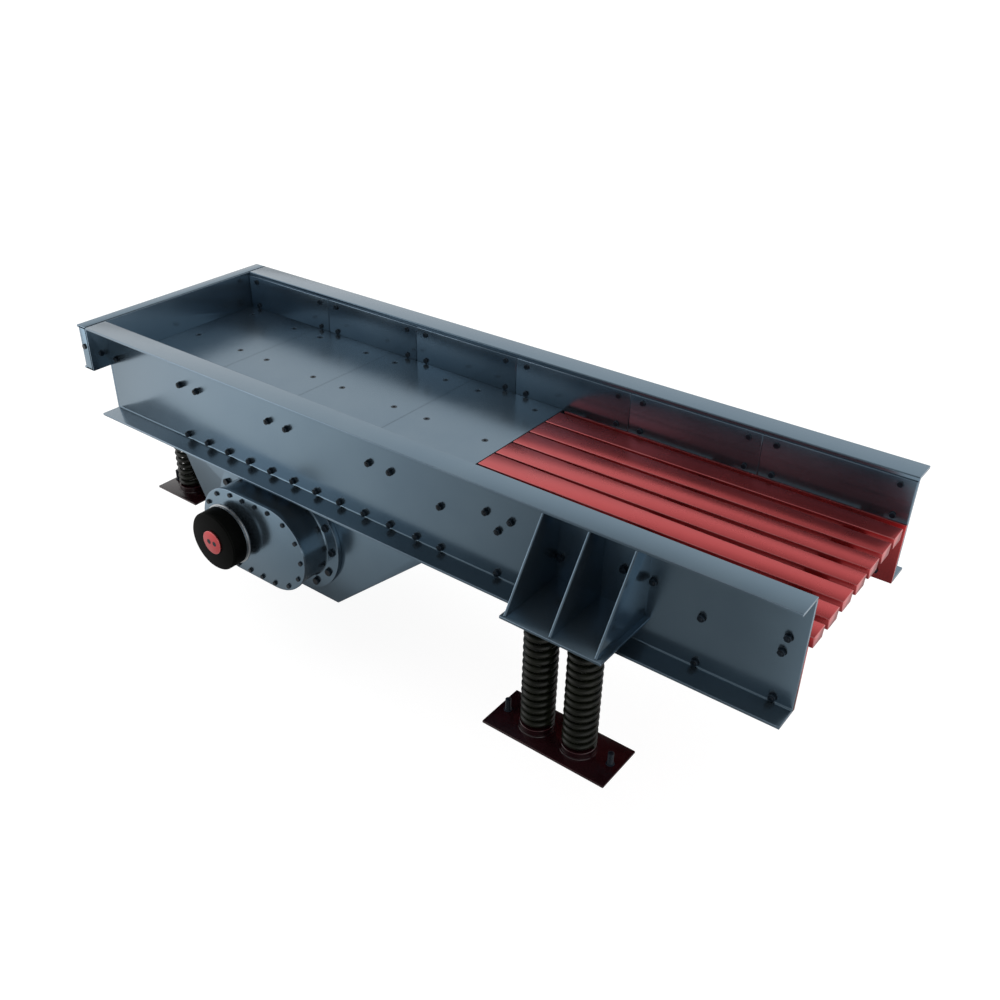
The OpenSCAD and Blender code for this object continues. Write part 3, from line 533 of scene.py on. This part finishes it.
def stadium(profile, cut=9.0, sides=64, edgeRows=()):
    # (radius, level) pairs carried round the two shafts: half a circle about one, a straight, half about the
    # other and a straight back, all cut level at a height
    u = np.linspace(-np.pi / 2, np.pi / 2, sides)
    around = np.concatenate([u, u + np.pi])
    centre = np.repeat([e["shafts"][1], e["shafts"][0]], sides)
    radius, level = np.array(profile, float).T
    x = centre[None] + radius[:, None] * np.cos(around)[None]
    z = np.minimum(e["height"] + radius[:, None] * np.sin(around)[None], cut)
    verts = np.stack([x, np.broadcast_to(level[:, None], x.shape), z], -1).reshape(-1, 3)
    n, m = len(profile), 2 * sides
    rim = np.repeat([1 if k in edgeRows else 0 for k in range(n - 1)], m)
    return verts, gridQuads(n, m), [np.arange(m)[::-1], np.arange((n - 1) * m, n * m)], rim


for side, near in sides:
    flange = stadium([(0.283, 0.488), (0.285, 0.490), (0.285, 0.5105), (0.2843, 0.5123), (0.2825, 0.513)],
                     e["flangeTop"], 64, (0, 2, 3))
    # the neck leaves the flange in a fillet and ends in a small chamfer
    neck = stadium([(0.221, 0.5125), (0.2165, 0.5145), (0.2135, 0.5185), (0.212, 0.524), (0.212, 0.653),
                    (0.2105, 0.655)], 9.0, 64, (4,))
    makePiece(f"carrier_{side}", [mirrored(sh, near) for sh in (flange, neck)], "trough",
              [f"bearing_carrier_{side}"], "grey_paint")
    rows = [(0.2195, 0.655), (0.221, 0.6565), (0.221, 0.6675), (0.2203, 0.6693), (0.2185, 0.670)]
    makePiece(f"cover_{side}", [mirrored(stadium(rows, 9.0, 64, (0, 2, 3)), near)], "trough",
              [f"end_cover_{side}"], "grey_paint")
print("exciter housings made")

# pulley: smooth black rim with a small front chamfer, and a machined ring at its back
pulley = {"radius": 0.150, "front": -0.805, "back": -0.705, "hole": 0.0453}
u = pulley
face = [(u["hole"], u["front"]), (u["radius"] - 0.0075, u["front"]),
        (u["radius"] - 0.006, u["front"] + 0.0007), (u["radius"] - 0.0008, u["front"] + 0.0058),
        (u["radius"], u["front"] + 0.0075), (u["radius"], u["back"] - 0.0185)]
ring = [(u["radius"] - 0.0003, u["back"] - 0.0187), (u["radius"] + 0.0008, u["back"] - 0.0183),
        (u["radius"] + 0.0010, u["back"] - 0.0090), (u["radius"] + 0.0052, u["back"] - 0.0080),
        (u["radius"] + 0.006, u["back"] - 0.0070), (u["radius"] + 0.006, u["back"] - 0.0012),
        (u["radius"] + 0.0048, u["back"]), (u["radius"] - 0.0015, u["back"])]
pocket = [(u["radius"] - 0.0016, u["back"] - 0.0002), (u["radius"] - 0.012, u["back"] - 0.0002),
          (u["radius"] - 0.016, u["back"] - 0.004), (u["radius"] - 0.016, u["back"] - 0.055),
          (0.072, u["back"] - 0.055), (0.072, u["back"] - 0.002), (0.070, u["back"]), (u["hole"], u["back"])]
shaftPlace = (e["shafts"][0], 0, e["height"])
drum = lathe(face, shaftPlace, "y", 144, (1, 3))
inside = lathe(pocket, shaftPlace, "y", 144, (1,))
makePiece("pulley_drum", [(sh[0], sh[1], [], sh[3]) for sh in (drum, inside)], "drive", ["belt_pulley"],
          "black_paint", smoothUnder=0.0075)
back = lathe(ring, shaftPlace, "y", 144, (3, 5))
makePiece("pulley_back_ring", [(back[0], back[1], [], back[3])], "drive", [], "bright_steel")

# red end plate, and two cap screws whose dished heads stand 0.6 mm proud of its face
hub = {"radius": 0.061, "front": -0.813, "back": -0.8045, "screwX": 0.0195}
h = hub
disc = lathe([(0.0008, h["front"]), (h["radius"] - 0.0025, h["front"]),
              (h["radius"] - 0.0007, h["front"] + 0.0007), (h["radius"], h["front"] + 0.0025),
              (h["radius"], h["back"])], shaftPlace, "y", 96, (1, 2))
makePiece("hub_plate", [disc], "drive", ["pulley_end_plate"], "red_paint")
screwShells = []
for s in (-1, 1):
    at = (e["shafts"][0] + s * h["screwX"], 0, e["height"])
    screwShells.append(lathe([(0.0128, h["front"] - 0.0003), (0.0120, h["front"] - 0.0006),
                              (0.0110, h["front"] + 0.0006), (0.0066, h["front"] + 0.0008),
                              (0.0060, h["front"] + 0.0040)], at, "y", 36, (0, 1)))
makePiece("hub_screws", screwShells, "drive", ["pulley_screws"], "dark_fastener")
print("pulley made")

# ---- fasteners ----

bolt = {"nutAcross": 0.0265, "nutHigh": 0.0148, "headAcross": 0.024, "headHigh": 0.0075, "washer": 0.0168,
        "washerHigh": 0.003, "shank": 0.008, "bigHead": (0.034, 0.0140), "bigNut": (0.030, 0.016),
        "smallHead": (0.021, 0.0085)}
o = bolt
rng = np.random.default_rng(11)


def nutShell(across, high, base=0.0):
    r = across / 2
    c = 0.115 * r
    return hexagon([(0.90 * r, base), (0.97 * r, base + 0.3 * c), (1.2 * r, base + c),
                    (1.2 * r, base + high - c), (0.95 * r, base + high)], across)


def threadEnd(radius, low, high, pitch=0.002):
    # a thread drawn as close rings: the radius rises and falls once each pitch, and the tip is chamfered
    level = np.arange(low, high - 0.0012, pitch / 2)
    r = radius - 0.0009 * (np.arange(len(level)) % 2)
    profile = np.r_[np.stack([r, level], 1), [(radius - 0.0006, high - 0.0010), (radius - 0.0020, high)]]
    return lathe(profile, (0, 0, 0), "z", 18)


def washerShell(radius, high):
    return lathe([(radius - 0.0006, 0), (radius, 0.0006), (radius, high - 0.0006), (radius - 0.0007, high)],
                 (0, 0, 0), "z", 28, (0, 2))


nutEnd = merged([washerShell(o["washer"], o["washerHigh"]),
                 nutShell(o["nutAcross"], o["nutHigh"], o["washerHigh"]),
                 threadEnd(o["shank"], o["washerHigh"] + o["nutHigh"], 0.0218)])
headEnd = nutShell(o["headAcross"], o["headHigh"])


def throughBolts(name, places, inside, side, near, replaced):
    # nuts with washers outside the wall and hexagon heads inside it
    s = -1 if near else 1
    xz = np.array(places)
    outer = np.stack([xz[:, 0], np.full(len(xz), s * t["outer"]), xz[:, 1]], 1)
    inner = np.stack([xz[:, 0], np.full(len(xz), s * inside), xz[:, 1]], 1)
    shells = [copied(nutEnd, outer, (0, s, 0), rng.uniform(0, np.pi / 3, len(xz))),
              copied(headEnd, inner, (0, -s, 0), rng.uniform(0, np.pi / 3, len(xz)))]
    return makePiece(name, shells, "trough", replaced, "dark_fastener", smoothUnder=0.009)


linerX = [k * pitch + a for k in range(p["count"]) for a in (0.062, pitch - 0.062)]
linerPlaces = [(x, z) for x in linerX for z in (0.724, 0.865)]
gussetX = [0.585 + 0.1516 * k for k in range(11)]
deckX = [2.236 + 0.298 * k for k in range(6)]
wallPlaces = [(x, 0.457) for x in gussetX] + [(x, z) for x in deckX for z in (0.457, 0.658)]
for side, near in sides:
    throughBolts(f"wear_plate_bolts_{side}", linerPlaces, p["face"], side, near, [f"liner_bolts_{side}"])
    throughBolts(f"frame_bolts_{side}", wallPlaces, 0.476, side, near, [f"wall_bolts_{side}"])


def ringPlaces(radius, extra, top=9.0):
    # seven bolts round each end, 30 degrees apart, and extra ones along each straight, none above top
    a = np.radians(30 * np.arange(7) - 90)
    x0, x1 = e["shafts"]
    ends = [np.stack([x1 + radius * np.cos(a), e["height"] + radius * np.sin(a)], 1),
            np.stack([x0 - radius * np.cos(a), e["height"] + radius * np.sin(a)], 1)]
    along = x0 + (x1 - x0) * np.arange(1, extra + 1) / (extra + 1)
    rows = [np.stack([along, np.full(extra, e["height"] + s * radius)], 1) for s in (-1, 1)]
    spots = np.concatenate(ends + rows)
    spots[:, 1] = np.minimum(spots[:, 1], top)
    return spots


bigHead, bigNut, smallHead = (nutShell(*o[k]) for k in ("bigHead", "bigNut", "smallHead"))
for name, spots, level, shell, replaced in (
        ("carrier_flange_bolts", ringPlaces(e["flangeBolts"], 1, 0.396), 0.513, bigHead, ["carrier_bolts"]),
        ("cover_ring_bolts", ringPlaces(e["coverBolts"], 2), 0.670, smallHead, ["cover_bolts"])):
    shells = []
    for s in (-1, 1):
        at = np.stack([spots[:, 0], np.full(len(spots), s * level), spots[:, 1]], 1)
        shells.append(copied(shell, at, (0, s, 0), rng.uniform(0, np.pi / 3, len(at))))
        if shell is bigHead:
            shells.append(copied(bigNut, at * np.array([1, 0.476 / level, 1]), (0, -s, 0)))
    makePiece(name, shells, "trough", replaced, "dark_fastener", smoothUnder=0.009)

# feed-end bolts, one through each wing and one through each cheek
wing = [(0.0, s * 0.547, 0.753) for s in (-1, 1)]
head = nutShell(o["nutAcross"], o["headHigh"])
shells = [copied(head, wing, (1, 0, 0)), copied(nutShell(o["nutAcross"], o["nutHigh"]),
                                                [(-0.012, y, z) for _, y, z in wing], (-1, 0, 0))]
for s in (-1, 1):
    shells.append(copied(head, [(-0.038, s * 0.610, 0.802)], (0, s, 0)))
    shells.append(copied(nutShell(o["nutAcross"], o["nutHigh"]), [(-0.038, s * 0.598, 0.802)], (0, -s, 0)))
makePiece("feed_end_fasteners", shells, "trough", ["feed_end_bolts"], "dark_fastener", smoothUnder=0.009)

# countersunk floor bolts with a plain round socket, and nuts below
floorPitch = 2.183 / 4
floorX = [k * floorPitch + a for k in range(4) for a in (0.1015, floorPitch - 0.1015)]
floorPlaces = [(x, y, 0) for x in floorX for y in (-0.390, 0, 0.390)]
sunk = lathe([(0.0080, 0.7000), (0.0150, 0.7068), (0.0148, 0.7074), (0.0062, 0.7075), (0.0058, 0.7072),
              (0.0056, 0.7030)], (0, 0, 0), "z", 36, (1, 2))
belowFloor = [(x, y, 0.6875) for x, y, _ in floorPlaces]
shells = [copied(sunk, floorPlaces, (0, 0, 1)),
          copied(nutShell(o["nutAcross"], o["nutHigh"]), belowFloor, (0, 0, -1)),
          copied(threadEnd(o["shank"], o["nutHigh"], 0.0196), belowFloor, (0, 0, -1))]
makePiece("floor_fasteners", shells, "trough", ["floor_bolts"], "dark_fastener", smoothUnder=0.009)
print("fasteners made")

# ---- base plates, studs and springs ----

bases = {"thick": 0.010, "wide": 0.234, "seat": 0.0695, "seatTop": 0.040, "spigot": 0.0395,
         "spigotTop": 0.064, "studTop": 0.066,
         "front": {"x": 3.0075, "y": 0.727, "long": 0.563, "studs": 0.480,
                   "seats": [(2.910, 0.728), (3.105, 0.728)]},
         "rear": {"x": 0.368, "y": 0.369, "long": 0.310, "studs": 0.256, "seats": [(0.368, 0.373)]}}
studPlaces = []
for end in ("front", "rear"):
    q = bases[end]
    for side, near in sides:
        s = -1 if near else 1
        shells = [block((q["x"] - q["long"] / 2, q["y"] - bases["wide"] / 2, 0),
                        (q["x"] + q["long"] / 2, q["y"] + bases["wide"] / 2, bases["thick"]), 0.0018, 0.003)]
        for x, y in q["seats"]:
            shells.append(lathe([(bases["seat"], 0.0099), (bases["seat"], bases["seatTop"] - 0.002),
                                 (bases["seat"] - 0.002, bases["seatTop"]),
                                 (bases["spigot"], bases["seatTop"]),
                                 (bases["spigot"], bases["spigotTop"] - 0.003),
                                 (bases["spigot"] - 0.003, bases["spigotTop"])],
                                (x, y, 0), "z", 72, (1, 4)))
            a = np.linspace(0, 2 * np.pi, 73)
            r = bases["seat"] + 0.001
            toe = np.stack([x + r * np.cos(a), y + r * np.sin(a), np.full(73, 0.0112)], 1)
            shells.append(weld(toe, 0.0042, (0, 0, 1)))
        makePiece(f"base_{end}_{side}", [mirrored(sh, near) for sh in shells], "base", [f"{end}_base_{side}"],
                  "maroon_paint")
        studPlaces += [(q["x"] + k * q["studs"] / 2, s * q["y"], 0) for k in (-1, 1)]
washer = washerShell(0.017, 0.003)
onPlate = (washer[0] + np.array([0, 0, bases["thick"]]), *washer[1:])
stud = merged([lathe([(0.0118, 0.0), (0.012, 0.012)], (0, 0, 0), "z", 24), onPlate,
               threadEnd(0.012, bases["thick"], bases["studTop"], 0.003)])
makePiece("threaded_studs", [copied(stud, studPlaces, (0, 0, 1))], "base", ["base_studs"],
          "dark_fastener", smoothUnder=0.009)

springs = {"low": 0.040, "high": 0.550, "across": 0.139, "wire": 0.0275, "turns": 13, "stepsPerTurn": 40,
           "round": 14}
w = springs


def coilShell(x, y):
    # a wire circle carried along a helix: the first and last turn lie flat, the pitch between is even,
    # and the ends are ground off level with the seats
    turns = w["turns"] + 2
    a = np.linspace(0, turns, turns * w["stepsPerTurn"] + 1)
    h, wire = w["high"] - w["low"], w["wire"]
    z = np.where(a < 1, wire * 0.25 + a * wire * 0.8,
                 np.where(a > turns - 1, h - wire * 0.25 - (turns - a) * wire * 0.8,
                          wire * 1.05 + (a - 1) / w["turns"] * (h - wire * 2.1)))
    k = np.linspace(0, 2 * np.pi, w["round"], endpoint=False)
    r = (w["across"] - wire) / 2 + wire / 2 * np.cos(k)[None]
    turn = (2 * np.pi * a)[:, None]
    up = np.clip(z[:, None] + wire / 2 * np.sin(k)[None], 0, h)
    verts = np.stack([x + r * np.cos(turn), y + r * np.sin(turn), w["low"] + up], -1).reshape(-1, 3)
    n, m = len(a), w["round"]
    return verts, gridQuads(n, m), [np.arange(m)[::-1], np.arange((n - 1) * m, n * m)], np.zeros((n - 1) * m)


for node in [f"front_spring_{k}" for k in (1, 2, 3, 4)] + ["rear_spring_near", "rear_spring_far"]:
    low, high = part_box(node)
    x, y = (low[0] + high[0]) / 2, (low[1] + high[1]) / 2
    v, q, caps, rim = coilShell(x, y)
    mesh = bpy.data.meshes.new(f"coil_{node}")
    mesh.from_pydata(v.tolist(), [], q.tolist() + [c.tolist() for c in caps])
    work = bmesh.new()
    work.from_mesh(mesh)
    bmesh.ops.recalc_face_normals(work, faces=work.faces)
    work.to_mesh(mesh)
    work.free()
    mesh.polygons.foreach_set("use_smooth", np.ones(len(mesh.polygons), bool))
    mesh.set_sharp_from_angle(angle=math.radians(50))
    piece = bpy.data.objects.new(f"coil_{node}", mesh)
    bpy.context.scene.collection.objects.link(piece)
    mesh.materials.append(finishes["spring_steel"])
    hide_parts(node)
    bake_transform(piece)
print("springs and bases made")

# ---- floor, light and camera ----

studio = {"floor": -0.62, "floorTone": "#8c8c8c", "floorGlow": 0.86, "poolGlow": 0.88,
          "nearPool": (-2.0, 3.0), "farPool": (3.8, 4.5), "unlitHalf": (0.75, 1.0), "ambient": 0.85,
          "darkSide": 0.40, "darkSideY": (-0.70, -0.88), "ceiling": 0.10, "ceilingZ": (0.53, 0.86),
          "darkHigh": 0.25, "darkHighSlope": -0.6, "darkHighAt": (0.84, 1.04),
          "sunUp": 0.35, "sunSpread": 60, "sunAim": (0.12, 0.10, -1),
          "keyPower": 20, "keyPlace": (-2.2, -3.2, 0.75), "keySize": 2.4, "keyAim": (1.2, -0.6, 0.2)}
s = studio


def fade(tree, value, span, start, end):
    # a smooth step from start to end while a value crosses a span
    step = addNode(tree, "ShaderNodeMapRange", {"interpolation_type": "SMOOTHSTEP"},
                   {"Value": value, "From Min": span[0], "From Max": span[1], "To Min": start, "To Max": end})
    return step.outputs["Result"]


n = 9
x, y = np.meshgrid(np.linspace(-40, 44, n), np.linspace(-42, 42, n), indexing="xy")
grid = np.stack([x, y, np.full(x.shape, s["floor"])], -1).reshape(-1, 3)
floorMesh = bpy.data.meshes.new("floor")
floorMesh.from_pydata(grid.tolist(), [], gridQuads(n, n, False).tolist())
floorObject = bpy.data.objects.new("floor", floorMesh)
bpy.context.scene.collection.objects.link(floorObject)
floorObject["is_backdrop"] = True
# matt grey floor whose glow only camera, glossy and transmitted rays meet, so that the camera sees it white
# and with the machine's shadow on it
floorMat = bpy.data.materials.new("studio floor matt grey")
floorMat.use_nodes = True
tree = floorMat.node_tree
tree.nodes.clear()
path = addNode(tree, "ShaderNodeLightPath")
seen = addNode(tree, "ShaderNodeMath", {"operation": "MAXIMUM"},
               {0: path.outputs["Is Camera Ray"], 1: path.outputs["Is Transmission Ray"]})
# glossy rays alone find pools of light on the floor: one at the feed end that dies away towards the
# discharge, and another past it
place = addNode(tree, "ShaderNodeTexCoord").outputs["Object"]
spot = addNode(tree, "ShaderNodeSeparateXYZ", None, {"Vector": place})
pool = fade(tree, spot.outputs["X"], s["nearPool"], s["poolGlow"], 0.0)
beyond = fade(tree, spot.outputs["X"], s["farPool"], 0.0, s["poolGlow"])
pools = addNode(tree, "ShaderNodeMath", {"operation": "ADD"}, {0: pool, 1: beyond})
# glossy rays find the floor under the machine unlit
aside = addNode(tree, "ShaderNodeMath", {"operation": "ABSOLUTE"}, {0: spot.outputs["Y"]})
clear = fade(tree, aside.outputs["Value"], s["unlitHalf"], 0.0, 1.0)
pools = addNode(tree, "ShaderNodeMath", {"operation": "MULTIPLY"}, {0: pools.outputs["Value"], 1: clear})
glossGlow = addNode(tree, "ShaderNodeMath", {"operation": "MULTIPLY"},
                    {0: path.outputs["Is Glossy Ray"], 1: pools.outputs["Value"]})
glow = addNode(tree, "ShaderNodeMath", {"operation": "MULTIPLY_ADD"},
               {0: seen.outputs["Value"], 1: s["floorGlow"], 2: glossGlow.outputs["Value"]})
matt = addNode(tree, "ShaderNodeBsdfDiffuse", None, {"Color": linear(s["floorTone"])})
shine = addNode(tree, "ShaderNodeEmission", None, {"Strength": glow.outputs["Value"]})
both = addNode(tree, "ShaderNodeAddShader", None, {0: matt.outputs["BSDF"], 1: shine.outputs["Emission"]})
addNode(tree, "ShaderNodeOutputMaterial", None, {"Surface": both.outputs["Shader"]})
floorMesh.materials.append(floorMat)

world = bpy.data.worlds.new("studio")
bpy.context.scene.world = world
world.use_nodes = True
tree = world.node_tree
tree.nodes.clear()
path = addNode(tree, "ShaderNodeLightPath")
seen = addNode(tree, "ShaderNodeMath", {"operation": "MAXIMUM"},
               {0: path.outputs["Is Camera Ray"], 1: path.outputs["Is Glossy Ray"]})
seen = addNode(tree, "ShaderNodeMath", {"operation": "MAXIMUM"},
               {0: seen.outputs["Value"], 1: path.outputs["Is Transmission Ray"]})
level = addNode(tree, "ShaderNodeMapRange", None,
                {"Value": seen.outputs["Value"], "To Min": s["ambient"], "To Max": 1.0})
# glossy rays find the studio's dark side towards -Y, and a ceiling dimmer than its walls
heading = addNode(tree, "ShaderNodeTexCoord").outputs["Generated"]
gaze = addNode(tree, "ShaderNodeSeparateXYZ", None, {"Vector": heading})
darkSide = fade(tree, gaze.outputs["Y"], s["darkSideY"], 1.0, s["darkSide"])
ceiling = fade(tree, gaze.outputs["Z"], s["ceilingZ"], 1.0, s["ceiling"])
# the dark side is darkest high up
slant = addNode(tree, "ShaderNodeMath", {"operation": "MULTIPLY_ADD"},
                {0: gaze.outputs["Y"], 1: s["darkHighSlope"], 2: gaze.outputs["Z"]})
darkHigh = fade(tree, slant.outputs["Value"], s["darkHighAt"], 1.0, s["darkHigh"])
dim = addNode(tree, "ShaderNodeMath", {"operation": "MULTIPLY"}, {0: darkSide, 1: ceiling})
dim = addNode(tree, "ShaderNodeMath", {"operation": "MULTIPLY"}, {0: dim.outputs["Value"], 1: darkHigh})
room = addNode(tree, "ShaderNodeMix", {"data_type": "FLOAT"},
               {"Factor": path.outputs["Is Glossy Ray"], "A": 1.0, "B": dim.outputs["Value"]})
level = addNode(tree, "ShaderNodeMath", {"operation": "MULTIPLY"},
                {0: level.outputs["Result"], 1: room.outputs["Result"]})
sky = addNode(tree, "ShaderNodeBackground", None, {"Color": (1, 1, 1, 1), "Strength": level.outputs["Value"]})
addNode(tree, "ShaderNodeOutputWorld", None, {"Surface": sky.outputs["Background"]})

sun = bpy.data.lights.new("overhead", "SUN")
sun.energy, sun.angle = s["sunUp"], math.radians(s["sunSpread"])
sunObject = bpy.data.objects.new("overhead", sun)
sunObject.rotation_euler = Vector(s["sunAim"]).to_track_quat("-Z", "Y").to_euler()
key = bpy.data.lights.new("key", "AREA")
key.energy, key.size = s["keyPower"], s["keySize"]
keyObject = bpy.data.objects.new("key", key)
keyObject.location = s["keyPlace"]
keyObject.rotation_euler = (Vector(s["keyAim"]) - Vector(s["keyPlace"])).to_track_quat("-Z", "Y").to_euler()
for lamp in (sunObject, keyObject):
    bpy.context.scene.collection.objects.link(lamp)

view = {"place": (4.585, -3.318, 2.902), "yaw": 128.71, "pitch": -32.01, "lens": 37.58,
        "shift": (0.0421, 0.0163)}
yaw, dip = math.radians(view["yaw"]), math.radians(view["pitch"])
camera = bpy.data.cameras.new("camera")
camera.lens, camera.sensor_width = view["lens"], 36
camera.shift_x, camera.shift_y = view["shift"]
cameraObject = bpy.data.objects.new("camera", camera)
cameraObject.location = view["place"]
gaze = Vector((math.cos(dip) * math.cos(yaw), math.cos(dip) * math.sin(yaw), math.sin(dip)))
cameraObject.rotation_euler = gaze.to_track_quat("-Z", "Y").to_euler()
bpy.context.scene.collection.objects.link(cameraObject)
bpy.context.scene.camera = cameraObject
bpy.context.scene.view_settings.view_transform = "Standard"
print("stage, light and camera set")

low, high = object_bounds()
